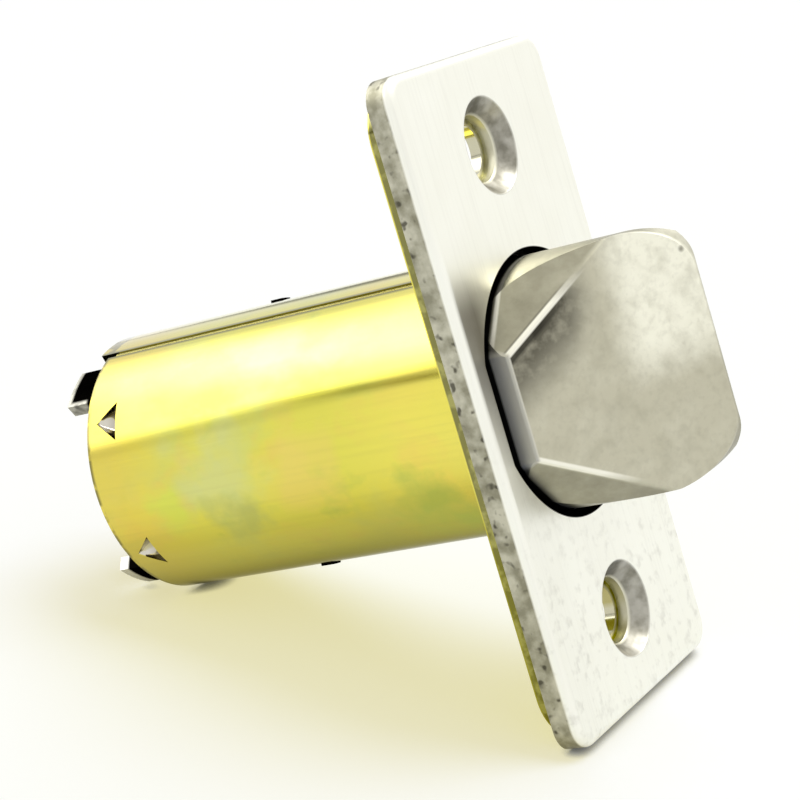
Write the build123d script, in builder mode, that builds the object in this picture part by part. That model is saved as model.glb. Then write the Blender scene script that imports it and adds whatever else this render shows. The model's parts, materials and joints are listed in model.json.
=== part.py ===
"""Tubular spring latch for a bored door lock.

X runs along the barrel, towards the bolt's nose. Z runs along the long side of the face plate.
The origin is the centre of the plates' back face, which seats against the edge of the door.
"""

import os
from math import cos, radians, sin, sqrt

from build123d import *

# Barrel: a steel tube for a one inch edge bore, rolled with an open seam and staked into the mounting plate
barrel_diameter = 24.1
barrel_wall = 0.8
barrel_length = 38.9
seam_angle = 69.5
seam_gap = 0.7
seam_lip_width = 5.0
seam_lip_length = 1.2
stake_width = 7.4
stake_step_depth = 0.3
stake_step_length = 0.4

# Plates: a mounting plate that carries the barrel and a face plate that covers it
screw_spacing = 41.3
screw_to_end = 7.925
side_margin = 1.9
face_thickness = 2.4
face_corner_radius = 2.3
face_edge_round = 0.8
face_overhang = 0.6
mounting_thickness = 1.0
mounting_corner_radius = 4.5
screw_hole_diameter = 4.5
screw_shank_diameter = 5.8
screw_head_diameter = 8.4
countersink_angle = 82

# Latch bolt: a round body with flats, given by how deep they cut, and two facets that lean to the nose
bolt_projection = 12.7
bolt_flat_depth = 1.0
bolt_facet_turn = 43
bolt_facet_tilt = 17
bolt_facet_run = 0.4
bolt_back_depth = 5.45
bolt_land = 1.35
nose_width = 0.9
nose_corner_radius = 4.5
nose_round = 0.4
bevel_edge_round = 0.2
pocket_depth = 7.0

# Stop plate across the barrel, with a tab through the wall above and below
stop_setback = 22.7
stop_thickness = 1.2
stop_tab_width = 1.4
stop_tab_angle = 11
stop_tab_proud = 0.22
bolt_end_gap = 0.4

# End cap: a shallow cup with four lugs for the lock body, held in the barrel by four lanced crimps
crimp_setback = 3.3
crimp_radius = 1.8
crimp_length = 2.2
crimp_angle = 31
cap_thickness = 1.2
cap_wall = 1.0
cap_skirt = 2.0
lug_angle = 56
lug_width = 4.2
lug_thickness = 1.2
lug_reach = 3.6

# Tail bar with a T head for the lock's retractor, pinned to the bolt
tail_thickness = 2.5
neck_height = 4.0
shank_height = 6.0
tail_insert = 5.2
head_height = 9.4
head_length = 2.5
head_reach = 3.2
head_corner_radius = 1.0
pin_diameter = 2.5
pin_inset = 2.7
pin_recess = 0.2

# Compression spring between the bolt and the stop plate
spring_mean_radius = 5.4
spring_wire = 0.9
spring_turns = 7

# Clearances
bolt_clearance = 0.3
hole_clearance = 0.65
hole_offset = 0.4
hole_flat_clearance = 1.25
seat_clearance = 0.05
slot_clearance = 0.1
tail_clearance = 0.3
pocket_clearance = 0.6

# Sizes and places that follow
barrel_radius = barrel_diameter / 2
bore_radius = barrel_radius - barrel_wall
stake_radius = barrel_radius - stake_step_depth
bolt_radius = bore_radius - bolt_clearance
bolt_flat_reach = bolt_radius - bolt_flat_depth
face_hole_radius = bolt_radius + hole_clearance
face_width = 2 * (face_hole_radius + side_margin)
face_height = screw_spacing + 2 * screw_to_end
mounting_width = face_width - 2 * face_overhang
mounting_height = face_height - 2 * face_overhang
face_x = mounting_thickness + face_thickness
nose_x = face_x + bolt_projection
land_x = face_x + bolt_land
stop_front_x = -stop_setback
stop_rear_x = stop_front_x - stop_thickness
bolt_rear_x = stop_front_x + bolt_end_gap + bolt_projection
pocket_x = bolt_rear_x + pocket_depth
pin_x = pocket_x + pin_inset
tail_front_x = pocket_x + tail_insert
rim_x = -barrel_length
seam_y = -barrel_radius * cos(radians(seam_angle))
cap_x = rim_x + crimp_setback
cap_radius = bore_radius - seat_clearance
lug_x = rim_x - lug_reach
head_x = rim_x - head_reach

os.makedirs("parts", exist_ok=True)


def finish(piece, label):
    """Labels a finished piece and writes its file."""
    piece.part.label = label
    export_step(piece.part, f"parts/{label}.step")


# Mounting plate, notched around its hole for the barrel's stakes
with BuildPart() as mounting_plate:
    with BuildSketch(Plane.YZ):
        RectangleRounded(mounting_width, mounting_height, mounting_corner_radius)
        Circle(bore_radius, mode=Mode.SUBTRACT)
        with GridLocations(0, screw_spacing, 1, 2):
            Circle(screw_hole_diameter / 2, mode=Mode.SUBTRACT)
    extrude(amount=mounting_thickness)
    with BuildSketch(Plane.YZ):
        Circle(stake_radius + slot_clearance)
        Rectangle(stake_width + 2 * slot_clearance, 2 * barrel_diameter, mode=Mode.INTERSECT)
    extrude(amount=mounting_thickness, mode=Mode.SUBTRACT)
finish(mounting_plate, "mounting_plate")


# Face plate, with a rounded front edge, countersunk screw holes, and a hole that has the bolt's flat and
# leaves more room on that side
with BuildPart() as face_plate:
    with BuildSketch(Plane.YZ.offset(mounting_thickness)):
        RectangleRounded(face_width, face_height, face_corner_radius)
    extrude(amount=face_thickness)
    fillet(face_plate.faces().sort_by(Axis.X)[-1].edges(), radius=face_edge_round)
    with BuildSketch(Plane.YZ.offset(mounting_thickness)):
        with Locations((-hole_offset, 0)):
            Circle(face_hole_radius)
        with Locations((-bolt_flat_reach - hole_flat_clearance, 0)):
            Rectangle(
                2 * face_hole_radius,
                2 * face_hole_radius,
                align=(Align.MIN, Align.CENTER),
                mode=Mode.INTERSECT,
            )
    extrude(amount=face_thickness, mode=Mode.SUBTRACT)
    with Locations(Plane.YZ.offset(face_x)):
        with GridLocations(0, screw_spacing, 1, 2):
            CounterSinkHole(
                radius=screw_shank_diameter / 2,
                counter_sink_radius=screw_head_diameter / 2,
                depth=face_thickness,
                counter_sink_angle=countersink_angle,
            )
finish(face_plate, "face_plate")


# Barrel, with crimps pushed inwards, slots for the stop plate's tabs, a seam that ends in a lip behind
# the rim, and stakes on a step at the front
crimp_plane = Plane(origin=(cap_x, 0, 0), x_dir=(0, 1, 0), z_dir=(-1, 0, 0))
crimp_spread_y = barrel_diameter * cos(radians(crimp_angle))
crimp_spread_z = barrel_diameter * sin(radians(crimp_angle))
crimp_back_radius = crimp_radius + barrel_wall
crimp_back_length = crimp_length * crimp_back_radius / crimp_radius
from_base = (Align.CENTER, Align.CENTER, Align.MIN)
tab_turn = radians(stop_tab_angle)
tab_plane = Plane(origin=(0, 0, 0), x_dir=(1, 0, 0), z_dir=(0, sin(tab_turn), cos(tab_turn)))

with BuildPart() as barrel:
    with BuildSketch(Plane.YZ.offset(rim_x)):
        Circle(barrel_radius)
        Circle(bore_radius, mode=Mode.SUBTRACT)
    extrude(amount=barrel_length)
    with Locations(crimp_plane):
        with GridLocations(crimp_spread_y, crimp_spread_z, 2, 2):
            Cone(crimp_back_radius, 0, crimp_back_length, align=from_base)
    with BuildSketch(Plane.YZ.offset(rim_x)):
        Circle(barrel_radius)
    extrude(amount=barrel_length, mode=Mode.INTERSECT)
    with Locations(crimp_plane):
        with GridLocations(crimp_spread_y, crimp_spread_z, 2, 2):
            Cone(crimp_radius, 0, crimp_length, align=from_base, mode=Mode.SUBTRACT)
    with BuildSketch(tab_plane):
        with Locations(((stop_front_x + stop_rear_x) / 2, 0)):
            Rectangle(stop_thickness + 2 * slot_clearance, stop_tab_width + 2 * slot_clearance)
    extrude(amount=barrel_diameter, both=True, mode=Mode.SUBTRACT)
    with BuildSketch(Plane.YZ.offset(rim_x)):
        Circle(barrel_radius)
        Circle(bore_radius, mode=Mode.SUBTRACT)
        with Locations((seam_y, 0)):
            Rectangle(seam_lip_width, barrel_diameter, align=Align.MIN, mode=Mode.INTERSECT)
    extrude(amount=-seam_lip_length)
    with BuildSketch(Plane.YZ):
        with PolarLocations(barrel_radius, 1, start_angle=180 - seam_angle):
            Rectangle(3 * barrel_wall, seam_gap)
    extrude(amount=-barrel_length - seam_lip_length, mode=Mode.SUBTRACT)
    with BuildSketch(Plane.YZ):
        Circle(barrel_radius)
        Circle(stake_radius, mode=Mode.SUBTRACT)
    extrude(amount=-stake_step_length, mode=Mode.SUBTRACT)
    with BuildSketch(Plane.YZ):
        Circle(stake_radius)
        Circle(bore_radius, mode=Mode.SUBTRACT)
        Rectangle(stake_width, 2 * barrel_diameter, mode=Mode.INTERSECT)
    extrude(amount=mounting_thickness)
finish(barrel, "barrel")


# Stop plate, with an opening for the tail bar's neck and a tab at each end
with BuildPart() as stop_plate:
    with BuildSketch(Plane.YZ.offset(stop_rear_x)):
        Circle(barrel_radius + stop_tab_proud)
        Rectangle(stop_tab_width, 2 * barrel_diameter, rotation=-stop_tab_angle, mode=Mode.INTERSECT)
        Circle(bore_radius - seat_clearance)
        Rectangle(tail_thickness + 2 * tail_clearance, neck_height + 2 * tail_clearance, mode=Mode.SUBTRACT)
    extrude(amount=stop_thickness)
finish(stop_plate, "stop_plate")


# End cap, open towards the bolt, with a slot that passes the tail bar's head and lugs behind the barrel
with BuildPart() as end_cap:
    with BuildSketch(Plane.YZ.offset(cap_x)):
        Circle(cap_radius)
    extrude(amount=cap_thickness + cap_skirt)
    with BuildSketch(Plane.YZ.offset(cap_x + cap_thickness)):
        Circle(cap_radius - cap_wall)
    extrude(amount=cap_skirt, mode=Mode.SUBTRACT)
    with BuildSketch(Plane.YZ.offset(cap_x)):
        Rectangle(tail_thickness + 2 * tail_clearance, head_height + 2 * tail_clearance)
    extrude(amount=cap_thickness, mode=Mode.SUBTRACT)
    with BuildSketch(Plane.YZ.offset(cap_x)):
        for turn in (lug_angle, 180 - lug_angle, 180 + lug_angle, -lug_angle):
            with PolarLocations(cap_radius, 1, start_angle=turn):
                Rectangle(cap_radius, lug_width)
        Circle(cap_radius, mode=Mode.INTERSECT)
        Circle(cap_radius - lug_thickness, mode=Mode.SUBTRACT)
    extrude(amount=lug_x - cap_x)
finish(end_cap, "end_cap")


# Latch bolt: a round bar with flats, cut to its slanted nose, with a spring pocket in its rear
flat_y = -bolt_flat_reach
back_y = bolt_radius - bolt_back_depth
bevel_y = back_y - nose_width
bevel_slope = (nose_x - land_x) / (bevel_y - flat_y)
bevel_root_x = land_x - bevel_slope * (bolt_radius + flat_y)
facet_x = land_x - bolt_facet_run
facet_z = sqrt(bolt_radius**2 - bolt_flat_reach**2)
facet_lean = radians(bolt_facet_tilt)

with BuildPart() as latch_bolt:
    with BuildSketch(Plane.YZ.offset(bolt_rear_x)):
        Circle(bolt_radius)
        with Locations((flat_y, 0)):
            Rectangle(
                2 * bolt_radius, 2 * bolt_radius, align=(Align.MIN, Align.CENTER), mode=Mode.INTERSECT
            )
    extrude(amount=nose_x - bolt_rear_x)
    with BuildSketch(Plane.XY) as plan_view:
        with BuildLine():
            Polyline(
                (bolt_rear_x, -bolt_radius),
                (bevel_root_x, -bolt_radius),
                (nose_x, bevel_y),
                (nose_x, back_y),
                (land_x, back_y),
                (land_x, bolt_radius),
                (bolt_rear_x, bolt_radius),
                close=True,
            )
        make_face()
        fillet(plan_view.vertices().group_by(Axis.X)[-1], radius=nose_round)
    extrude(amount=bolt_radius, both=True, mode=Mode.INTERSECT)
    with BuildSketch(Plane.XZ):
        with Locations((nose_x, 0)):
            RectangleRounded(
                2 * (nose_x - bolt_rear_x),
                2 * bolt_radius,
                nose_corner_radius,
                align=(Align.MAX, Align.CENTER),
            )
    extrude(amount=bolt_radius, both=True, mode=Mode.INTERSECT)
    with BuildSketch(Plane.YZ.offset(bolt_rear_x)):
        Circle(spring_mean_radius + spring_wire / 2 + pocket_clearance)
    extrude(amount=pocket_depth, mode=Mode.SUBTRACT)
    with BuildSketch(Plane.YZ.offset(pocket_x)):
        Rectangle(tail_thickness + 2 * slot_clearance, neck_height + 2 * slot_clearance)
    extrude(amount=tail_insert + slot_clearance, mode=Mode.SUBTRACT)
    with BuildSketch(Plane.XZ):
        with Locations((pin_x, 0)):
            Circle(pin_diameter / 2 + seat_clearance)
    extrude(amount=bolt_radius, both=True, mode=Mode.SUBTRACT)
    for side in (1, -1):
        turn = side * radians(bolt_facet_turn)
        leaning = Vector(sin(facet_lean), -cos(facet_lean) * cos(turn), cos(facet_lean) * sin(turn))
        facet = Plane(origin=(facet_x, flat_y, side * facet_z), z_dir=leaning)
        split(bisect_by=facet, keep=Keep.BOTTOM)
    flat_faces = latch_bolt.faces().filter_by(GeomType.PLANE)
    bevel = flat_faces.sort_by(lambda face: face.normal_at().X * face.normal_at().Y)[0]
    fillet(bevel.edges().filter_by(GeomType.LINE).sort_by(Axis.X)[:-1], radius=bevel_edge_round)
finish(latch_bolt, "latch_bolt")


# Cross pin, ending just below the bolt's flat on one side and its round face on the other
pin_start_y = flat_y + pin_recess
pin_end_y = sqrt(bolt_radius**2 - (pin_diameter / 2) ** 2) - pin_recess
with BuildPart() as bolt_pin:
    with BuildSketch(Plane.XZ.offset(-pin_start_y)):
        with Locations((pin_x, 0)):
            Circle(pin_diameter / 2)
    extrude(amount=pin_start_y - pin_end_y)
finish(bolt_pin, "bolt_pin")


# Tail bar: a flat bar whose shank stops behind the stop plate, with a T head outside the barrel
with BuildPart() as tail_bar:
    with BuildSketch(Plane.XZ):
        with Locations((tail_front_x, 0)):
            Rectangle(tail_front_x - head_x, neck_height, align=(Align.MAX, Align.CENTER))
        with Locations((stop_rear_x, 0)):
            Rectangle(stop_rear_x - head_x, shank_height, align=(Align.MAX, Align.CENTER))
        with Locations((head_x, 0)):
            RectangleRounded(head_length, head_height, head_corner_radius, align=(Align.MAX, Align.CENTER))
        with Locations((pin_x, 0)):
            Circle(pin_diameter / 2 + seat_clearance, mode=Mode.SUBTRACT)
    extrude(amount=tail_thickness / 2, both=True)
finish(tail_bar, "tail_bar")


# Spring: a round wire coil from the stop plate to the bottom of the bolt's pocket
spring_start_x = stop_front_x + spring_wire / 2
spring_length = pocket_x - stop_front_x - spring_wire
with BuildPart() as bolt_spring:
    with BuildLine() as coil:
        Helix(
            pitch=spring_length / spring_turns,
            height=spring_length,
            radius=spring_mean_radius,
            center=(spring_start_x, 0, 0),
            direction=(1, 0, 0),
        )
    with BuildSketch(Plane(origin=coil.line @ 0, z_dir=coil.line % 0)):
        Circle(spring_wire / 2)
    sweep(path=coil.line, is_frenet=True)
finish(bolt_spring, "bolt_spring")
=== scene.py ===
"""Studio scene of a tubular door latch.

The CAD pieces keep their places and get their finishes here. A coil spring with closed ends stands for
the plain one, plating bridges the barrel's seam, and a table, lights and a camera show the latch lying on
its barrel and its face plate.
X runs along the barrel towards the bolt's nose and Z along the face plate. Sizes are in millimetres.
"""

import json
from math import atan2, cos, pi, radians, sin

import bpy
from mathutils import Matrix, Vector


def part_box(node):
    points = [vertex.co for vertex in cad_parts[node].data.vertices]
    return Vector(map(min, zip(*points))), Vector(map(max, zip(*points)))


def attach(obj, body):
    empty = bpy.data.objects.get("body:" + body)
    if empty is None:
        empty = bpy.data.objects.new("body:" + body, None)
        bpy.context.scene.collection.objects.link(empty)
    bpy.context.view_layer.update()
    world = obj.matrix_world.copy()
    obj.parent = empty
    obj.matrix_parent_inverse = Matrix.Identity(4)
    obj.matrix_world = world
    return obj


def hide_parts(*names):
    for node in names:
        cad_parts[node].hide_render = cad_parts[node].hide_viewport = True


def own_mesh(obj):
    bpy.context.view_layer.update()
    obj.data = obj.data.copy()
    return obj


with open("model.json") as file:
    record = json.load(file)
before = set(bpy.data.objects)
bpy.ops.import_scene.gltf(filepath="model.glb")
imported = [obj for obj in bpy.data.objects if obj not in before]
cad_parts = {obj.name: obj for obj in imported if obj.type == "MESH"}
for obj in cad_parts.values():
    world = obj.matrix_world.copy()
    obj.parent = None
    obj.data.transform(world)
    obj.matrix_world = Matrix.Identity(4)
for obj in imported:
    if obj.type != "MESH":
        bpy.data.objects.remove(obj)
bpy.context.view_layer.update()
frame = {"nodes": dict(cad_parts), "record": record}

MM = 0.001
SMOOTH_ANGLE = radians(40)


def corners(node):
    """Lowest and highest corner of a CAD piece, in millimetres."""
    low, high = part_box(node)
    return low / MM, high / MM


plate_low, plate_high = corners("face_plate")
barrel_low, barrel_high = corners("barrel")
cap_low, cap_high = corners("end_cap")
coil_low, coil_high = corners("bolt_spring")
screws = next(mount for mount in frame["record"]["mounts"] if mount["name"] == "face_screws")
screw_offset = screws["dims"]["spacing_y_mm"] / 2

# Places on the pieces that their finishes follow: the end cap, the barrel's rim, bore and seam
CAP_DEPTH = 3.2
cap_rear = cap_high.x - CAP_DEPTH
rim_x = min(v.co.x for v in frame["nodes"]["barrel"].data.vertices if v.co.z < 0) / MM
LUG_TURN = radians(34)
BORE_RADIUS = 11.25
SEAM_TURN = radians(69.5)
SEAM_GAP = 0.7

# The face plate's rounded edge and countersinks, the screw holes of both plates, and the bolt's hole
EDGE_ROUND = 0.75
SINK_RADIUS = 4.2
SHANK_RADIUS = 2.9
SCREW_RADIUS = 2.25
HOLE_RADIUS = 11.6
HOLE_OFFSET = 0.4
HOLE_FLAT = 11.2

# The bolt's flat, facets and slant, and a pit in its nose
FLAT_REACH = 9.95
FACET_CORNER = Vector((4.35, -9.95, 4.57))
FACET_TURN = radians(43)
FACET_LEAN = radians(17)
SLANT_TURN = radians(37.96)
SLANT_REACH = 9.865
NOSE_PIT = Vector((15.64, 4.01, 8.07))


# Node and colour helpers


def colour(code):
    """An sRGB hex value as linear red, green, blue and alpha."""
    parts = [int(code[i : i + 2], 16) / 255 for i in (1, 3, 5)]
    return [c / 12.92 if c <= 0.04045 else ((c + 0.055) / 1.055) ** 2.4 for c in parts] + [1.0]


def add(tree, kind, inputs=None, **settings):
    """Adds a node and returns its first output. An input is a value or another node's output."""
    node = tree.nodes.new("ShaderNode" + kind)
    for name, value in settings.items():
        setattr(node, name, value)
    for key, value in (inputs or {}).items():
        socket = next(s for i, s in enumerate(node.inputs) if key == i or (s.enabled and s.name == key))
        if isinstance(value, bpy.types.NodeSocket):
            tree.links.new(value, socket)
        else:
            socket.default_value = value
    return next((s for s in node.outputs if s.enabled), None)


def new_metal(name):
    """A metal to build a finish on, with its shader and the place on the piece in millimetres."""
    material = bpy.data.materials.new(name)
    material.use_nodes = True
    tree = material.node_tree
    shader = tree.nodes["Principled BSDF"]
    shader.inputs["Metallic"].default_value = 1.0
    origin = add(tree, "TexCoord").node.outputs["Object"]
    place = add(tree, "Mapping", {"Vector": origin, "Scale": (1 / MM, 1 / MM, 1 / MM)})
    return material, tree, shader, place


def give(tree, shader, sockets):
    """Links what a finish has worked out to the shader's sockets, by their names."""
    for name, value in sockets.items():
        tree.links.new(value, shader.inputs[name])


def from_axis(tree, y, z):
    """How far a place is from the X axis, or from a line beside it that y and z count from."""
    spoke = add(tree, "CombineXYZ", {"Y": y, "Z": z})
    return add(tree, "VectorMath", {0: spoke}, operation="LENGTH").node.outputs["Value"]


def from_screw(tree, y, z):
    """How far a place is from the middle of the nearer screw hole."""
    beside = add(tree, "Math", {0: z}, operation="ABSOLUTE")
    beside = add(tree, "Math", {0: beside, 1: screw_offset}, operation="SUBTRACT")
    return from_axis(tree, y, beside)


def seen_as_backdrop(tree):
    """1 where the camera looks, straight, in gloss or through glass, and 0 for light on its way elsewhere."""
    path = add(tree, "LightPath").node.outputs
    seen = add(tree, "Math", {0: path["Is Camera Ray"], 1: path["Is Glossy Ray"]}, operation="MAXIMUM")
    return add(tree, "Math", {0: seen, 1: path["Is Transmission Ray"]}, operation="MAXIMUM")


# Finishes


def satin_stainless():
    """Stainless strip with a belt-polished satin front, nearly white and finely streaked, and a torn edge."""
    material, tree, shader, place = new_metal("satin_stainless")
    x, y, z = add(tree, "SeparateXYZ", {"Vector": place}).node.outputs

    # Polishing lines run along the plate, drawn 0.3 mm wide and 9 mm long so that they show
    streaks = add(tree, "Mapping", {"Vector": place, "Scale": (1 / 0.3, 1 / 0.3, 1 / 9.0)})
    grain = add(tree, "TexNoise", {"Vector": streaks, "Scale": 1.0, "Detail": 2.0})
    cloud = add(tree, "TexNoise", {"Vector": place, "Scale": 1 / 8.0, "Detail": 3.0})
    pale, paler = colour("#F4F3E5"), colour("#FDFDF2")
    face = add(tree, "Mix", {"Factor": cloud, "A": pale, "B": paler}, data_type="RGBA")
    streak = add(tree, "MapRange", {"Value": grain, "From Min": 0.5, "From Max": 0.8, "To Max": 0.2})
    face = add(tree, "Mix", {"Factor": streak, "A": face, "B": colour("#DAD8CE")}, data_type="RGBA")

    # Handling specks of about 1 mm, thickest in the lower third
    specks = add(tree, "TexNoise", {"Vector": place, "Scale": 1 / 1.0, "Detail": 3.0})
    speck = add(tree, "MapRange", {"Value": specks, "From Min": 0.54, "From Max": 0.74})
    low_down = add(tree, "MapRange", {"Value": z, "From Min": 0.0, "From Max": -20.0, "To Max": 0.33})
    speck = add(tree, "Math", {0: speck, 1: low_down}, operation="MULTIPLY")
    face = add(tree, "Mix", {"Factor": speck, "A": face, "B": colour("#B4B1A4")}, data_type="RGBA")

    # A grey painted reflection of the bolt's slanted side lies on the face beside its hole
    bolt_reflection = add(tree, "MapRange", {"Value": y, "From Min": -6.5, "From Max": -10.5, "To Max": 0.95})
    inside = {"Value": y, "From Min": plate_low.y + 0.4, "From Max": plate_low.y + 0.8}
    inside = add(tree, "MapRange", inside)
    below = {"Value": z, "From Min": 13.0, "From Max": 8.2}
    below = add(tree, "MapRange", below, interpolation_type="SMOOTHSTEP")
    fading = {"Value": z, "From Min": -8.0, "From Max": 6.0, "To Min": 0.05}
    fading = add(tree, "MapRange", fading, interpolation_type="SMOOTHSTEP")
    uneven = add(tree, "MapRange", {"Value": cloud, "From Min": 0.3, "From Max": 0.7, "To Min": 0.85})
    for share in (inside, below, fading, uneven):
        bolt_reflection = add(tree, "Math", {0: bolt_reflection, 1: share}, operation="MULTIPLY")
    face = add(tree, "Mix", {"Factor": bolt_reflection, "A": face, "B": colour("#827E74")}, data_type="RGBA")

    # Blanked edge: torn grey metal with a few dark pits, below the polished rounding of the front
    tears = add(tree, "TexNoise", {"Vector": place, "Scale": 1 / 1.4, "Detail": 3.0})
    torn = add(tree, "MapRange", {"Value": tears, "From Min": 0.35, "From Max": 0.65})
    dull, bright = colour("#918E79"), colour("#C6C3AF")
    edge = add(tree, "Mix", {"Factor": torn, "A": dull, "B": bright}, data_type="RGBA")
    pits = add(tree, "TexNoise", {"Vector": place, "Scale": 1 / 0.8, "Detail": 1.0})
    pit = add(tree, "MapRange", {"Value": pits, "From Min": 0.6, "From Max": 0.72, "To Max": 0.85})
    edge = add(tree, "Mix", {"Factor": pit, "A": edge, "B": colour("#4A473B")}, data_type="RGBA")
    wall_top = plate_high.x - EDGE_ROUND
    wall = add(tree, "MapRange", {"Value": x, "From Min": wall_top + 0.1, "From Max": wall_top - 0.1})
    face = add(tree, "Mix", {"Factor": wall, "A": face, "B": edge}, data_type="RGBA")

    # Countersinks, turned and left grey, and brighter where the drill went through
    reach = from_screw(tree, y, z)
    sunk = {"Value": reach, "From Min": SINK_RADIUS + 0.1, "From Max": SINK_RADIUS - 0.1}
    sunk = add(tree, "MapRange", sunk)
    dull, bright = colour("#827F72"), colour("#B2AFA3")
    turned = add(tree, "Mix", {"Factor": torn, "A": dull, "B": bright}, data_type="RGBA")
    drilled = {"Value": reach, "From Min": SHANK_RADIUS + 0.2, "From Max": SHANK_RADIUS + 0.05}
    drilled = add(tree, "MapRange", drilled)
    turned = add(tree, "Mix", {"Factor": drilled, "A": turned, "B": colour("#DEDBC6")}, data_type="RGBA")
    face = add(tree, "Mix", {"Factor": sunk, "A": face, "B": turned}, data_type="RGBA")

    # The wall of the bolt's hole, round with one flat, is painted near black, as painted shade
    beside = add(tree, "Math", {0: y, 1: HOLE_OFFSET}, operation="ADD")
    reach = from_axis(tree, beside, z)
    hole_wall_shade = {"Value": reach, "From Min": HOLE_RADIUS + 0.08, "From Max": HOLE_RADIUS + 0.02}
    within = {"Value": y, "From Min": -HOLE_FLAT - 0.08, "From Max": -HOLE_FLAT - 0.02}
    hole_wall_shade, within = add(tree, "MapRange", hole_wall_shade), add(tree, "MapRange", within)
    hole_wall_shade = add(tree, "Math", {0: hole_wall_shade, 1: within}, operation="MULTIPLY")
    face = add(tree, "Mix", {"Factor": hole_wall_shade, "A": face, "B": colour("#0E0D0B")}, data_type="RGBA")

    rough = add(tree, "MapRange", {"Value": grain, "To Min": 0.3, "To Max": 0.42})
    torn_rough = add(tree, "Math", {0: wall, 1: 0.12}, operation="MULTIPLY")
    rough = add(tree, "Math", {0: rough, 1: torn_rough}, operation="ADD")
    bump = add(tree, "Bump", {"Strength": 0.2, "Distance": 0.03 * MM, "Height": grain})
    give(tree, shader, {"Base Color": face, "Roughness": rough, "Normal": bump})
    return material


def yellow_zinc():
    """Zinc plate under a yellow chromate film: glossy gold that drifts to green, orange and grey."""
    material, tree, shader, place = new_metal("yellow_zinc")
    x, y, z = add(tree, "SeparateXYZ", {"Vector": place}).node.outputs
    shader.inputs["Coat Roughness"].default_value = 0.08

    # The film is glossy except underneath, where it is matt and its grazing reflection is painted dark olive,
    # as painted shade
    gloss = add(tree, "MapRange", {"Value": z, "From Min": -12.0, "From Max": -7.0})
    matt, white = colour("#8F8A3C"), colour("#FFFFFF")
    underside_grazing_shade = add(tree, "Mix", {"Factor": gloss, "A": matt, "B": white}, data_type="RGBA")
    give(tree, shader, {"Coat Weight": gloss, "Specular Tint": underside_grazing_shade})

    # The film's tint drifts in patches of 4 to 8 mm, drawn out a little along the tube
    tint = colour("#DED74A")
    patches = (
        ("#C5CC6C", 8.0, 1.0, 0.48),
        ("#E4C258", 6.0, 7.0, 0.54),
        ("#D8D862", 5.0, 13.0, 0.56),
        ("#B6C448", 4.0, 19.0, 0.58),
    )
    for code, size, seed, start in patches:
        grid = (0.7 / size, 1 / size, 1 / size)
        shifted = add(tree, "Mapping", {"Vector": place, "Location": (seed, seed, seed), "Scale": grid})
        patch = add(tree, "TexNoise", {"Vector": shifted, "Scale": 1.0, "Detail": 4.0, "Roughness": 0.55})
        spread = {"Value": patch, "From Min": start, "From Max": start + 0.14, "To Max": 0.6}
        share = add(tree, "MapRange", spread)
        tint = add(tree, "Mix", {"Factor": share, "A": tint, "B": colour(code)}, data_type="RGBA")

    # The film is paler in front and more orange at the rear, and underneath it is painted deeper, as painted
    # shade
    drifts_and_shade = (
        ("#EEE056", x, -13.0, -5.0, 0.8),
        ("#E6C63E", x, -29.0, -36.0, 0.55),
        ("#948F26", z, -4.0, -11.0, 0.85),
    )
    for code, along, start, end, most in drifts_and_shade:
        share = add(tree, "MapRange", {"Value": along, "From Min": start, "From Max": end, "To Max": most})
        tint = add(tree, "Mix", {"Factor": share, "A": tint, "B": colour(code)}, data_type="RGBA")

    # Rinse water dried in a few larger stains on the side of the flat
    ragged = add(tree, "TexNoise", {"Vector": place, "Scale": 1 / 4.0, "Detail": 4.0}).node.outputs["Color"]
    ragged = add(tree, "VectorMath", {0: ragged, 1: (0.5, 0.5, 0.5)}, operation="SUBTRACT")
    ragged = add(tree, "VectorMath", {0: ragged, 1: (9.0, 9.0, 9.0)}, operation="MULTIPLY")
    ragged = add(tree, "VectorMath", {0: place, 1: ragged}, operation="ADD")
    stains = (
        ("#CDD188", 5.5, (-25.5, -12.0, 0.0)),
        ("#B0B662", 4.0, (-24.5, -11.0, -5.0)),
        ("#E7CE62", 5.0, (-17.0, -12.0, -1.5)),
        ("#ECD25A", 3.0, (-4.5, -12.0, -2.0)),
        ("#A3B84A", 4.5, (-5.5, -9.7, -7.2)),
        ("#D2DC48", 3.0, (-31.3, -11.8, -2.4)),
    )
    for code, size, middle in stains:
        reach = add(tree, "VectorMath", {0: ragged, 1: middle}, operation="DISTANCE").node.outputs["Value"]
        spread = {"Value": reach, "From Min": size, "From Max": 0.3 * size, "To Max": 0.7}
        share = add(tree, "MapRange", spread)
        tint = add(tree, "Mix", {"Factor": share, "A": tint, "B": colour(code)}, data_type="RGBA")

    # Drawing lines run along the tube, drawn 0.5 mm wide so that they show
    lines = add(tree, "Mapping", {"Vector": place, "Scale": (1 / 14.0, 1 / 0.5, 1 / 0.5)})
    drawn = add(tree, "TexNoise", {"Vector": lines, "Scale": 1.0, "Detail": 2.0})
    dull = add(tree, "MapRange", {"Value": drawn, "From Min": 0.5, "From Max": 0.8, "To Max": 0.1})
    tint = add(tree, "Mix", {"Factor": dull, "A": tint, "B": colour("#A39A48")}, data_type="RGBA")

    # The crimps crack the film and show the grey steel, painted dark at their deep end as painted shade
    reach = from_axis(tree, y, z)
    outer = barrel_high.y
    dented = add(tree, "MapRange", {"Value": reach, "From Min": outer - 0.03, "From Max": outer - 0.12})
    behind = add(tree, "MapRange", {"Value": x, "From Min": cap_rear + 0.1, "From Max": cap_rear})
    dented = add(tree, "Math", {0: dented, 1: behind}, operation="MULTIPLY")
    crimp_shade = add(tree, "MapRange", {"Value": x, "From Min": cap_rear - 1.5, "From Max": cap_rear})
    pale, dark = colour("#D2CDBF"), colour("#8E8870")
    bare = add(tree, "Mix", {"Factor": crimp_shade, "A": pale, "B": dark}, data_type="RGBA")
    tint = add(tree, "Mix", {"Factor": dented, "A": tint, "B": bare}, data_type="RGBA")
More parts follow.
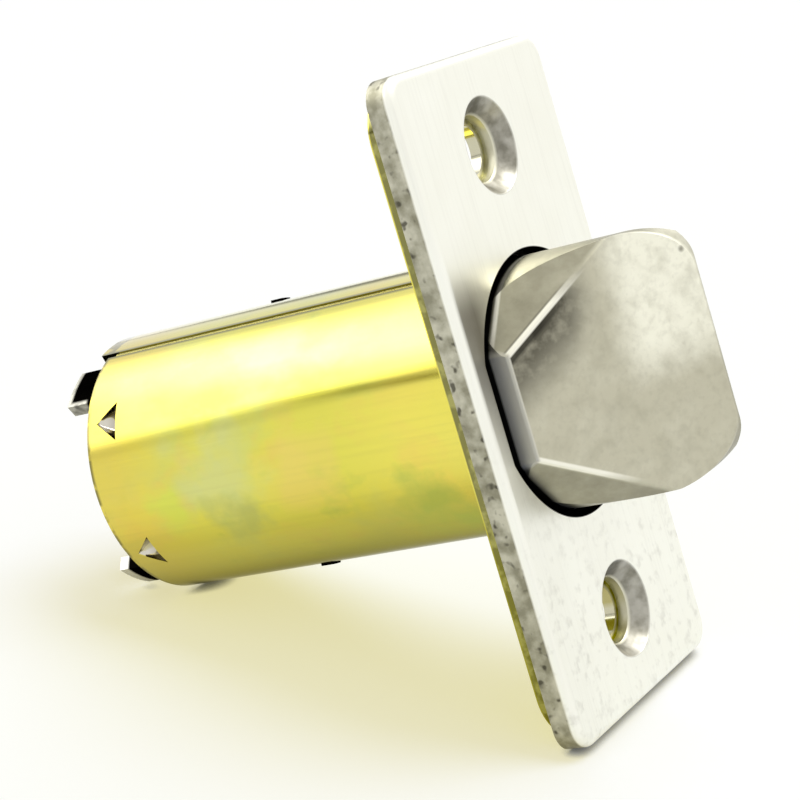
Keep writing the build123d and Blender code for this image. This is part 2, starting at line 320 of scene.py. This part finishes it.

    # The rolled edges beside the seam are painted olive, as painted shade along the seam
    outwards, sideways = (0, -cos(SEAM_TURN), sin(SEAM_TURN)), (0, sin(SEAM_TURN), cos(SEAM_TURN))
    near = add(tree, "VectorMath", {0: place, 1: outwards}, operation="DOT_PRODUCT").node.outputs["Value"]
    near = add(tree, "MapRange", {"Value": near, "From Min": 5.0, "From Max": 6.0})
    off = add(tree, "VectorMath", {0: place, 1: sideways}, operation="DOT_PRODUCT").node.outputs["Value"]
    off = add(tree, "Math", {0: off}, operation="ABSOLUTE")
    seam = add(tree, "MapRange", {"Value": off, "From Min": 0.8, "From Max": 0.5, "To Max": 0.9})
    on_tube = add(tree, "MapRange", {"Value": reach, "From Min": outer + 0.15, "From Max": outer + 0.05})
    for share in (near, on_tube):
        seam = add(tree, "Math", {0: seam, 1: share}, operation="MULTIPLY")
    tint = add(tree, "Mix", {"Factor": seam, "A": tint, "B": colour("#6E6A22")}, data_type="RGBA")

    # The sawn rim is dull, in a broken line
    chips = add(tree, "TexNoise", {"Vector": place, "Scale": 1 / 1.2, "Detail": 2.0})
    chip = add(tree, "MapRange", {"Value": chips, "From Min": 0.38, "From Max": 0.52, "To Max": 0.9})
    sawn = add(tree, "MapRange", {"Value": x, "From Min": rim_x + 0.4, "From Max": rim_x + 0.15})
    sawn = add(tree, "Math", {0: sawn, 1: chip}, operation="MULTIPLY")
    tint = add(tree, "Mix", {"Factor": sawn, "A": tint, "B": colour("#77702C")}, data_type="RGBA")

    # The bore in front of the end cap is painted near black, as painted shade inside the tube
    inside = {"Value": reach, "From Min": BORE_RADIUS + 0.25, "From Max": BORE_RADIUS + 0.1}
    inside = add(tree, "MapRange", inside)
    ahead = add(tree, "MapRange", {"Value": x, "From Min": cap_rear + 0.05, "From Max": cap_rear + 0.15})
    inside = add(tree, "Math", {0: inside, 1: ahead}, operation="MULTIPLY")
    tint = add(tree, "Mix", {"Factor": inside, "A": tint, "B": colour("#1F1C10")}, data_type="RGBA")

    # The mounting plate's sheared edge is darker olive, and its bolt hole is painted near black, as painted
    # shade
    sheared = add(tree, "MapRange", {"Value": x, "From Min": 0.05, "From Max": 0.15})
    dull, bright = colour("#76722F"), colour("#A09C52")
    olive = add(tree, "Mix", {"Factor": chip, "A": bright, "B": dull}, data_type="RGBA")
    tint = add(tree, "Mix", {"Factor": sheared, "A": tint, "B": olive}, data_type="RGBA")
    hole_reach = HOLE_RADIUS + HOLE_OFFSET
    hole_wall_shade = {"Value": reach, "From Min": hole_reach + 0.4, "From Max": hole_reach + 0.2}
    hole_wall_shade = add(tree, "MapRange", hole_wall_shade)
    hole_wall_shade = add(tree, "Math", {0: hole_wall_shade, 1: sheared}, operation="MULTIPLY")
    tint = add(tree, "Mix", {"Factor": hole_wall_shade, "A": tint, "B": colour("#12110C")}, data_type="RGBA")

    # Its screw holes are grey from the drill
    reach = from_screw(tree, y, z)
    drilled = {"Value": reach, "From Min": SCREW_RADIUS + 0.35, "From Max": SCREW_RADIUS + 0.15}
    drilled = add(tree, "MapRange", drilled)
    tint = add(tree, "Mix", {"Factor": drilled, "A": tint, "B": colour("#C6C2A6")}, data_type="RGBA")

    rough = add(tree, "MapRange", {"Value": drawn, "To Min": 0.1, "To Max": 0.17})
    bump = add(tree, "Bump", {"Strength": 0.15, "Distance": 0.03 * MM, "Height": drawn})
    give(tree, shader, {"Base Color": tint, "Roughness": rough, "Normal": bump})
    return material


def cast_stainless():
    """Investment-cast stainless, tumbled to a warm grey satin, with painted highlights on its ridges and nose
    and painted shade on its facets.
    """
    material, tree, shader, place = new_metal("cast_stainless")
    x, y, z = add(tree, "SeparateXYZ", {"Vector": place}).node.outputs

    # The upper part of the nose is painted bright, as a painted highlight, and the root is left dull
    painted_light_area = {"Value": x, "From Min": 10.0, "From Max": 13.0}
    painted_light_area = add(tree, "MapRange", painted_light_area, interpolation_type="SMOOTHSTEP")
    raised = {"Value": z, "From Min": -3.0, "From Max": 2.0}
    raised = add(tree, "MapRange", raised, interpolation_type="SMOOTHSTEP")
    painted_light_area = add(tree, "Math", {0: painted_light_area, 1: raised}, operation="MULTIPLY")
    cloud = add(tree, "TexNoise", {"Vector": place, "Scale": 1 / 3.5, "Detail": 4.0, "Roughness": 0.6})
    ragged = {"Value": cloud, "From Min": 0.3, "From Max": 0.7, "To Min": -0.15, "To Max": 0.15}
    painted_light_area = add(tree, "Math", {0: painted_light_area, 1: add(tree, "MapRange", ragged)}, operation="ADD", use_clamp=True)
    dull, bright = colour("#C5C1AA"), colour("#F6F4E0")
    tint = add(tree, "Mix", {"Factor": painted_light_area, "A": dull, "B": bright}, data_type="RGBA")

    # Casting skin: grains of about 0.5 mm, and tumbling marks of about 1.6 mm
    skin = add(tree, "TexNoise", {"Vector": place, "Scale": 1 / 0.5, "Detail": 2.0})
    grains = add(tree, "MapRange", {"Value": skin, "From Min": 0.5, "From Max": 0.8, "To Max": 0.16})
    tint = add(tree, "Mix", {"Factor": grains, "A": tint, "B": colour("#8A8674")}, data_type="RGBA")
    marks = add(tree, "TexNoise", {"Vector": place, "Scale": 1 / 1.6, "Detail": 3.0})
    mark = add(tree, "MapRange", {"Value": marks, "From Min": 0.45, "From Max": 0.75, "To Max": 0.35})
    tint = add(tree, "Mix", {"Factor": mark, "A": tint, "B": colour("#A09C86")}, data_type="RGBA")

    # How far a place lies inside the planes of the two facets, the flat and the slant
    depths = []
    for side in (1, -1):
        outwards = Vector((
            sin(FACET_LEAN),
            -cos(FACET_LEAN) * cos(FACET_TURN),
            side * cos(FACET_LEAN) * sin(FACET_TURN),
        ))
        reach = outwards.x * FACET_CORNER.x + outwards.y * FACET_CORNER.y + abs(outwards.z) * FACET_CORNER.z
        along = add(tree, "VectorMath", {0: place, 1: outwards}, operation="DOT_PRODUCT")
        along = along.node.outputs["Value"]
        depths.append(add(tree, "Math", {0: reach, 1: along}, operation="SUBTRACT"))
    depths.append(add(tree, "Math", {0: y, 1: FLAT_REACH}, operation="ADD"))
    beside = add(tree, "Math", {0: depths[0], 1: depths[1]}, operation="MINIMUM")
    beside = add(tree, "Math", {0: beside, 1: depths[2]}, operation="MINIMUM")
    outwards = (cos(SLANT_TURN), -sin(SLANT_TURN), 0)
    along = add(tree, "VectorMath", {0: place, 1: outwards}, operation="DOT_PRODUCT").node.outputs["Value"]
    slant = add(tree, "Math", {0: SLANT_REACH, 1: along}, operation="SUBTRACT")

    # Facets and flat are painted darker than the slant, in patches, and the slant is painted grey below its
    # upper ridge, both as painted shade
    off_slant = add(tree, "MapRange", {"Value": slant, "From Min": 0.1, "From Max": 0.4})
    facet_shade = {"Value": cloud, "From Min": 0.3, "From Max": 0.7, "To Min": 0.35, "To Max": 0.85}
    facet_shade = add(tree, "MapRange", facet_shade)
    facet_shade = add(tree, "Math", {0: off_slant, 1: facet_shade}, operation="MULTIPLY")
    tint = add(tree, "Mix", {"Factor": facet_shade, "A": tint, "B": colour("#888470")}, data_type="RGBA")
    upper = depths[0]
    slant_shade = {"Value": upper, "From Min": 4.5, "From Max": 0.6}
    slant_shade = add(tree, "MapRange", slant_shade, interpolation_type="SMOOTHSTEP")
    rooted = add(tree, "MapRange", {"Value": x, "From Min": 10.5, "From Max": 8.5})
    on_slant = add(tree, "MapRange", {"Value": slant, "From Min": 0.4, "From Max": 0.1})
    patchy = add(tree, "MapRange", {"Value": cloud, "From Min": 0.2, "From Max": 0.5})
    for share in (rooted, on_slant, patchy):
        slant_shade = add(tree, "Math", {0: slant_shade, 1: share}, operation="MULTIPLY")
    tint = add(tree, "Mix", {"Factor": slant_shade, "A": tint, "B": colour("#615E51")}, data_type="RGBA")

    # A thin dark line is painted below that ridge, as painted shade
    ridge_shade = add(tree, "MapRange", {"Value": upper, "From Min": 0.75, "From Max": 0.5, "To Max": 0.85})
    rooted = add(tree, "MapRange", {"Value": x, "From Min": 9.0, "From Max": 7.0})
    for share in (rooted, on_slant):
        ridge_shade = add(tree, "Math", {0: ridge_shade, 1: share}, operation="MULTIPLY")
    tint = add(tree, "Mix", {"Factor": ridge_shade, "A": tint, "B": colour("#33312A")}, data_type="RGBA")

    # One casting pit near the nose's upper corner
    pit = add(tree, "VectorMath", {0: place, 1: NOSE_PIT}, operation="DISTANCE").node.outputs["Value"]
    pit = add(tree, "MapRange", {"Value": pit, "From Min": 0.36, "From Max": 0.1, "To Max": 0.7})
    tint = add(tree, "Mix", {"Factor": pit, "A": tint, "B": colour("#6B675A")}, data_type="RGBA")

    # The ridges around the slant are painted bright, as painted highlights, less towards their ends
    ridge = add(tree, "Math", {0: beside, 1: slant}, operation="MAXIMUM")
    painted_highlight = add(tree, "MapRange", {"Value": ridge, "From Min": 0.27, "From Max": 0.16})
    corner = add(tree, "Math", {0: z}, operation="ABSOLUTE")
    corner = add(tree, "MapRange", {"Value": corner, "From Min": 9.2, "From Max": 7.4})
    painted_highlight = add(tree, "Math", {0: painted_highlight, 1: corner}, operation="MULTIPLY")

    # So is a line where the upper facet meets the face plate, a painted highlight too
    plate_line_highlight = add(tree, "Math", {0: x, 1: plate_high.x + 0.1}, operation="SUBTRACT")
    plate_line_highlight = add(tree, "Math", {0: plate_line_highlight}, operation="ABSOLUTE")
    plate_line_highlight = add(tree, "MapRange", {"Value": plate_line_highlight, "From Min": 0.25, "From Max": 0.1, "To Max": 0.8})
    high_up = add(tree, "MapRange", {"Value": z, "From Min": 4.0, "From Max": 7.0})
    plate_line_highlight = add(tree, "Math", {0: plate_line_highlight, 1: high_up}, operation="MULTIPLY")
    painted_highlight = add(tree, "Math", {0: painted_highlight, 1: plate_line_highlight}, operation="MAXIMUM")
    tint = add(tree, "Mix", {"Factor": painted_highlight, "A": tint, "B": colour("#F6F3E2")}, data_type="RGBA")

    # The flat keeps its matt casting skin
    matt = add(tree, "MapRange", {"Value": depths[2], "From Min": 0.3, "From Max": 0.1})
    bare = add(tree, "Math", {0: matt, 1: plate_line_highlight}, operation="SUBTRACT", use_clamp=True)
    tint = add(tree, "Mix", {"Factor": bare, "A": tint, "B": colour("#D6D2BC")}, data_type="RGBA")
    metal = add(tree, "MapRange", {"Value": matt, "To Min": 1.0, "To Max": 0.35})
    give(tree, shader, {"Metallic": metal})

    # What stays inside the face plate's hole is painted near black, as painted shade
    front = plate_high.x
    bolt_in_hole_shade = add(tree, "MapRange", {"Value": x, "From Min": front - 0.1, "From Max": front - 0.3})
    tint = add(tree, "Mix", {"Factor": bolt_in_hole_shade, "A": tint, "B": colour("#14130F")}, data_type="RGBA")

    rough = add(tree, "MapRange", {"Value": cloud, "To Min": 0.3, "To Max": 0.48})
    bump = add(tree, "Bump", {"Strength": 0.25, "Distance": 0.04 * MM, "Height": skin})
    give(tree, shader, {"Base Color": tint, "Roughness": rough, "Normal": bump})
    return material


def dark_steel():
    """Steel strip, blackened, with painted highlights on the end cap's lugs and less black near the axis."""
    material, tree, shader, place = new_metal("dark_steel")
    x, y, z = add(tree, "SeparateXYZ", {"Vector": place}).node.outputs
    cloud = add(tree, "TexNoise", {"Vector": place, "Scale": 1 / 2.0, "Detail": 4.0})
    black, grey = colour("#030303"), colour("#0E0D0B")
    shader.inputs["Specular Tint"].default_value = colour("#303030")
    tint = add(tree, "Mix", {"Factor": cloud, "A": black, "B": grey}, data_type="RGBA")

    # The bath reached the cap's floor and the tail bar less, and they stay grey
    reach = from_axis(tree, y, z)
    thin = add(tree, "MapRange", {"Value": reach, "From Min": 10.2, "From Max": 9.6})
    dull, plain = colour("#4A4742"), colour("#8A867D")
    grey = add(tree, "Mix", {"Factor": cloud, "A": dull, "B": plain}, data_type="RGBA")
    tint = add(tree, "Mix", {"Factor": thin, "A": tint, "B": grey}, data_type="RGBA")

    # The upper lugs are painted light grey at their tips and on the sides that turn towards the flat, as
    # painted highlights
    sideways = (0, -cos(LUG_TURN), -sin(LUG_TURN))
    flank = add(tree, "VectorMath", {0: place, 1: sideways}, operation="DOT_PRODUCT").node.outputs["Value"]
    flank = add(tree, "MapRange", {"Value": flank, "From Min": 1.6, "From Max": 1.9})
    tip = add(tree, "MapRange", {"Value": x, "From Min": cap_low.x + 0.5, "From Max": cap_low.x + 0.2})
    painted_highlight = add(tree, "Math", {0: flank, 1: tip}, operation="MAXIMUM")
    outside = add(tree, "MapRange", {"Value": x, "From Min": barrel_low.x, "From Max": barrel_low.x - 0.3})
    upper = add(tree, "MapRange", {"Value": z, "From Min": 5.0, "From Max": 6.0})
    patchy = add(tree, "MapRange", {"Value": cloud, "From Min": 0.3, "From Max": 0.5})
    for share in (outside, upper, patchy):
        painted_highlight = add(tree, "Math", {0: painted_highlight, 1: share}, operation="MULTIPLY")
    tint = add(tree, "Mix", {"Factor": painted_highlight, "A": tint, "B": colour("#BAB8AC")}, data_type="RGBA")

    # The lower lugs are painted bright at their tips, as painted highlights
    painted_light_area = add(tree, "MapRange", {"Value": x, "From Min": cap_low.x + 1.1, "From Max": cap_low.x + 0.8})
    lower = add(tree, "MapRange", {"Value": z, "From Min": -5.0, "From Max": -6.0})
    painted_light_area = add(tree, "Math", {0: painted_light_area, 1: lower}, operation="MULTIPLY")
    tint = add(tree, "Mix", {"Factor": painted_light_area, "A": tint, "B": colour("#E6E4DA")}, data_type="RGBA")

    rough = add(tree, "MapRange", {"Value": cloud, "To Min": 0.35, "To Max": 0.6})
    give(tree, shader, {"Base Color": tint, "Roughness": rough})
    return material


def spring_steel():
    """Hard drawn wire and pin: bright grey with fine lines from the die."""
    material, tree, shader, place = new_metal("spring_steel")
    drawn = add(tree, "TexNoise", {"Vector": place, "Scale": 1 / 0.3, "Detail": 3.0})
    dull, bright = colour("#77756F"), colour("#A9A7A0")
    tint = add(tree, "Mix", {"Factor": drawn, "A": dull, "B": bright}, data_type="RGBA")
    rough = add(tree, "MapRange", {"Value": drawn, "To Min": 0.2, "To Max": 0.35})
    give(tree, shader, {"Base Color": tint, "Roughness": rough})
    return material


def white_table():
    """Matt white paper, white where it is lit, under a warm glow that the camera and gloss see, which keeps
    its shadows warm.
    """
    material = bpy.data.materials.new("white_paper")
    material.use_nodes = True
    tree = material.node_tree
    tree.nodes.clear()
    paper = add(tree, "BsdfDiffuse", {"Color": colour("#9BA8D7")})
    seen = seen_as_backdrop(tree)

    # Where something touches it, the paper's glow is dimmed, as a painted contact shadow
    near = add(tree, "AmbientOcclusion", {"Distance": CONTACT_REACH * MM}, samples=CONTACT_SAMPLES)
    near = near.node.outputs["AO"]
    near = add(tree, "MapRange", {"Value": near, "From Min": 0.2, "From Max": 0.7, "To Min": 0.1})
    seen = add(tree, "Math", {0: seen, 1: near}, operation="MULTIPLY")
    glow = add(tree, "Emission", {"Color": colour("#D8D09C"), "Strength": seen})
    lit = add(tree, "AddShader", {0: paper, 1: glow})
    under = add(tree, "NewGeometry").node.outputs["Backfacing"]
    clear = add(tree, "BsdfTransparent")
    shown = add(tree, "MixShader", {0: under, 1: lit, 2: clear})
    add(tree, "OutputMaterial", {"Surface": shown})
    return material


# Coil spring, in three stretches so that its ends close: the wire, its turns, the end turns' pitch and the
# depth to which the ends are ground, both in wires


WIRE = 0.9
WIRE_SIDES = 12
STEPS_PER_TURN = 40
END_TURNS = 1.25
BODY_TURNS = 5.5
END_PITCH = 1.05
GROUND = 0.2
MERGE_GAP = 0.01
coil_radius = coil_high.y - WIRE / 2


def coil(start_x, start_turn, rise, turns):
    """One stretch of wire, wound about X from a circle in the plane of the axis."""
    bpy.ops.object.select_all(action="DESELECT")
    bpy.ops.mesh.primitive_circle_add(
        vertices=WIRE_SIDES, radius=WIRE / 2 * MM, location=(start_x * MM, coil_radius * MM, 0)
    )
    stretch = bpy.context.object
    bpy.ops.object.transform_apply(location=True, rotation=True, scale=True)
    stretch.rotation_euler.x = 2 * pi * start_turn
    bpy.ops.object.transform_apply(location=True, rotation=True, scale=True)
    winding = stretch.modifiers.new("winding", "SCREW")
    winding.axis = "X"
    winding.angle = 2 * pi * turns
    winding.screw_offset = rise * MM
    winding.steps = winding.render_steps = int(STEPS_PER_TURN * turns)
    winding.use_merge_vertices = False
    bpy.ops.object.modifier_apply(modifier=winding.name)
    return stretch


def wind_spring():
    """Joins two closed ends and an open body, then grinds both ends flat."""
    length = coil_high.x - coil_low.x
    end_rise = END_TURNS * WIRE * END_PITCH
    body_rise = length - 2 * end_rise - 2 * GROUND * WIRE
    start = coil_low.x + GROUND * WIRE
    stretches = [
        coil(start, 0, end_rise, END_TURNS),
        coil(start + end_rise, END_TURNS, body_rise, BODY_TURNS),
        coil(start + end_rise + body_rise, END_TURNS + BODY_TURNS, end_rise, END_TURNS),
    ]
    bpy.ops.object.select_all(action="DESELECT")
    for stretch in stretches:
        stretch.select_set(True)
    bpy.context.view_layer.objects.active = stretches[0]
    bpy.ops.object.join()
    spring = bpy.context.object
    spring.name = "closed_end_spring"
    bpy.ops.object.mode_set(mode="EDIT")
    bpy.ops.mesh.select_all(action="SELECT")
    bpy.ops.mesh.remove_doubles(threshold=MERGE_GAP * MM)
    for cut_x, outwards in ((coil_low.x, -1), (coil_high.x, 1)):
        bpy.ops.mesh.select_all(action="SELECT")
        bpy.ops.mesh.bisect(
            plane_co=(cut_x * MM, 0, 0), plane_no=(outwards, 0, 0), use_fill=True, clear_outer=True
        )
    bpy.ops.mesh.select_all(action="SELECT")
    bpy.ops.mesh.normals_make_consistent(inside=False)
    bpy.ops.object.mode_set(mode="OBJECT")
    bpy.ops.object.shade_smooth_by_angle(angle=SMOOTH_ANGLE)
    return spring


# Barrel seam: how far the plating stays off its ends and sides, its groove, its wall and its depth


SEAM_INSET = 0.5
SEAM_PLAY = 0.02
SEAM_GROOVE = 0.12
SEAM_WALL = 0.25
SEAM_DEPTH = 0.2
SEAM_STEPS = 24


def bridge_seam():
    """Plating that bridges the barrel's seam in a shallow groove, a little below its surface."""
    length = -rim_x - 2 * SEAM_INSET
    bpy.ops.object.select_all(action="DESELECT")
    bpy.ops.mesh.primitive_grid_add(x_subdivisions=SEAM_STEPS, y_subdivisions=2, size=MM)
    bridge = bpy.context.object
    bridge.name = "seam_bridge"
    bridge.scale = (length, SEAM_GAP - 2 * SEAM_PLAY, 1)
    bpy.ops.object.transform_apply(location=True, rotation=True, scale=True)
    bpy.ops.object.mode_set(mode="EDIT")
    bpy.ops.mesh.select_all(action="DESELECT")
    bpy.ops.object.mode_set(mode="OBJECT")
    for vertex in bridge.data.vertices:
        vertex.select = abs(vertex.co.y) < SEAM_PLAY * MM
    bpy.ops.object.mode_set(mode="EDIT")
    bpy.ops.transform.translate(value=(0, 0, -SEAM_GROOVE * MM))
    bpy.ops.object.mode_set(mode="OBJECT")
    wall = bridge.modifiers.new("wall", "SOLIDIFY")
    wall.thickness = SEAM_WALL * MM
    wall.offset = -1
    bpy.ops.object.modifier_apply(modifier=wall.name)
    outwards = Vector((0, -cos(SEAM_TURN), sin(SEAM_TURN)))
    bridge.rotation_euler.x = pi / 2 - SEAM_TURN
    bridge.location = (Vector((rim_x / 2, 0, 0)) + (barrel_high.y - SEAM_DEPTH) * outwards) * MM
    bpy.ops.object.transform_apply(location=True, rotation=True, scale=True)
    bpy.ops.object.shade_smooth_by_angle(angle=SMOOTH_ANGLE)
    return bridge


# Table, lights and camera


TABLE_SIZE = 3000.0
TABLE_GAP = 0.05
CONTACT_REACH = 1.15
CONTACT_SAMPLES = 8
ROOM_LIGHT = 0.42
SUN_FROM = Vector((0.402, 0.42, 0.813))
SUN_SPREAD = 44
SUN_LIGHT = 1.95
BOX_PLACE = Vector((-374.5, -436.2, 268.9))
BOX_ALONG = Vector((-0.145, 0.989, -0.009)).normalized()
BOX_ACROSS = Vector((-0.803, -0.123, -0.584)).normalized()
BOX_START = -120.0
BOX_END = 1400.0
BOX_WIDTH = 520.0
BOX_SIDE = -80.0
BOX_DIM = 0.8
BOX_GLOW = 2.8
BOX_RISE = (20.0, 115.0)
# Changes along the panel, from and to, with the factors there: white lower edge, faint half, dark top
BOX_CHANGES = (
    (-60.0, -10.0, 1.25, 1.0),
    (430.0, 640.0, 1.0, 0.33),
    (1040.0, 1180.0, 1.0, 0.3),
)
LAMP_SPOT = Vector((320.0, -185.0, 0.0))
LAMP_SIZE = Vector((300.0, 80.0, 1.0))
LAMP_GLOW = 2.2
CLAMP_SPOT = Vector((-14.0, -54.0, 0.0))
CLAMP_SIZE = Vector((130.0, 34.0, 1.0))
CAMERA_PLACE = Vector((99.49, -173.97, 30.25))
CAMERA_AIM = Vector((-7.77, -7.49, 2.33))
CAMERA_UP = Vector((0.171, 0.269, 0.948))
CAMERA_LENS = 106.6
CAMERA_SENSOR = 36
CAMERA_NEAR = 10.0


def aimed(place, target, up):
    """The place and turn of a camera that looks at a target, with its upper side up."""
    back = (place - target).normalized()
    across = up.cross(back).normalized()
    turn = Matrix((across, back.cross(across), back)).transposed()
    return Matrix.Translation(place * MM) @ turn.to_4x4()


def lay_table():
    """A white table under the two edges that the latch lies on: the face plate's and the barrel's rim."""
    tilt = atan2(barrel_low.z - plate_low.z, plate_low.x - rim_x)
    rest = Vector((plate_low.x, 0, plate_low.z)) - TABLE_GAP * Vector((sin(tilt), 0, cos(tilt)))
    bpy.ops.object.select_all(action="DESELECT")
    bpy.ops.mesh.primitive_plane_add(size=TABLE_SIZE * MM, location=rest * MM, rotation=(0, tilt, 0))
    table = bpy.context.object
    table.name = "table"
    table.data.materials.append(white_table())


def light_room():
    """An even white room, which the camera and bright metal see at full white, and a soft sun behind."""
    world = bpy.data.worlds.new("studio")
    bpy.context.scene.world = world
    world.use_nodes = True
    tree = world.node_tree
    tree.nodes.clear()
    seen = seen_as_backdrop(tree)
    strength = add(tree, "MapRange", {"Value": seen, "To Min": ROOM_LIGHT, "To Max": 1.0})
    room = add(tree, "Background", {"Color": colour("#FFFFFF"), "Strength": strength})
    add(tree, "OutputWorld", {"Surface": room})

    sun = bpy.data.lights.new("sun", "SUN")
    sun.energy = SUN_LIGHT
    sun.angle = radians(SUN_SPREAD)
    lamp = bpy.data.objects.new("sun", sun)
    lamp.rotation_euler = SUN_FROM.to_track_quat("Z", "Y").to_euler()
    bpy.context.scene.collection.objects.link(lamp)


def soft_box():
    """A lit panel: bright in its lower half, faint beyond, as white as the room at its lower edge."""
    material = bpy.data.materials.new("soft_box")
    material.use_nodes = True
    tree = material.node_tree
    tree.nodes.clear()
    origin = add(tree, "TexCoord").node.outputs["Object"]
    place = add(tree, "Mapping", {"Vector": origin, "Scale": (1 / MM, 1 / MM, 1 / MM)})
    along = add(tree, "SeparateXYZ", {"Vector": place}).node.outputs["X"]
    start, end = BOX_RISE
    glow = {"Value": along, "From Min": start, "From Max": end, "To Min": BOX_DIM, "To Max": BOX_GLOW}
    glow = add(tree, "MapRange", glow, interpolation_type="SMOOTHSTEP")
    for start, end, before, after in BOX_CHANGES:
        change = {"Value": along, "From Min": start, "From Max": end, "To Min": before, "To Max": after}
        glow = add(tree, "Math", {0: glow, 1: add(tree, "MapRange", change)}, operation="MULTIPLY")

    # Its lamp sits behind one spot and a black clamp holds it at another
    lamp = (LAMP_SPOT, LAMP_SIZE, "ADD", 0.0, LAMP_GLOW)
    clamp = (CLAMP_SPOT, CLAMP_SIZE, "MULTIPLY", 1.0, 0.0)
    for spot, size, operation, outside, middle in (lamp, clamp):
        reach = add(tree, "VectorMath", {0: place, 1: spot}, operation="SUBTRACT")
        reach = add(tree, "VectorMath", {0: reach, 1: size}, operation="DIVIDE")
        reach = add(tree, "VectorMath", {0: reach}, operation="LENGTH").node.outputs["Value"]
        change = {"Value": reach, "From Min": 1.0, "From Max": 0.0, "To Min": outside, "To Max": middle}
        change = add(tree, "MapRange", change, interpolation_type="SMOOTHSTEP")
        glow = add(tree, "Math", {0: glow, 1: change}, operation=operation)
    lit = add(tree, "Emission", {"Color": colour("#FFFFFF"), "Strength": glow})
    add(tree, "OutputMaterial", {"Surface": lit})
    return material


def hang_box():
    """Hangs the panel over the barrel, where only gloss shows it."""
    middle = (BOX_START + BOX_END) / 2
    bpy.ops.object.select_all(action="DESELECT")
    bpy.ops.mesh.primitive_plane_add(size=MM, location=(middle * MM, BOX_SIDE * MM, 0))
    box = bpy.context.object
    box.name = "soft_box"
    box.scale = (BOX_END - BOX_START, BOX_WIDTH, 1)
    bpy.ops.object.transform_apply(location=True, rotation=True, scale=True)
    turn = Matrix((BOX_ALONG, BOX_ACROSS, BOX_ALONG.cross(BOX_ACROSS))).transposed()
    box.matrix_world = Matrix.Translation(BOX_PLACE * MM) @ turn.to_4x4()
    box.visible_camera = False
    box.visible_diffuse = False
    box.visible_shadow = False
    box.data.materials.append(soft_box())


def place_camera():
    """A long lens at the photograph's viewing angle, above and in front of the bolt's slanted side."""
    lens = bpy.data.cameras.new("camera")
    lens.lens = CAMERA_LENS
    lens.sensor_width = CAMERA_SENSOR
    lens.sensor_fit = "HORIZONTAL"
    lens.clip_start = CAMERA_NEAR * MM
    camera = bpy.data.objects.new("camera", lens)
    camera.matrix_world = aimed(CAMERA_PLACE, CAMERA_AIM, CAMERA_UP)
    bpy.context.scene.collection.objects.link(camera)
    bpy.context.scene.camera = camera


# Dress the latch


finishes = {
    satin_stainless: ("face_plate",),
    yellow_zinc: ("mounting_plate", "barrel"),
    cast_stainless: ("latch_bolt",),
    dark_steel: ("stop_plate", "tail_bar", "end_cap"),
    spring_steel: ("bolt_pin", "bolt_spring"),
}
for make_finish, nodes in finishes.items():
    material = make_finish()
    for node in nodes:
        frame["nodes"][node].data.materials.clear()
        frame["nodes"][node].data.materials.append(material)

spring = wind_spring()
spring.data.materials.append(bpy.data.materials["spring_steel"])
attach(spring, "housing")
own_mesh(spring)
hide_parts("bolt_spring")

bridge = bridge_seam()
bridge.data.materials.append(bpy.data.materials["yellow_zinc"])
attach(bridge, "housing")

lay_table()
light_room()
hang_box()
place_camera()
bpy.context.scene.view_settings.view_transform = "Standard"
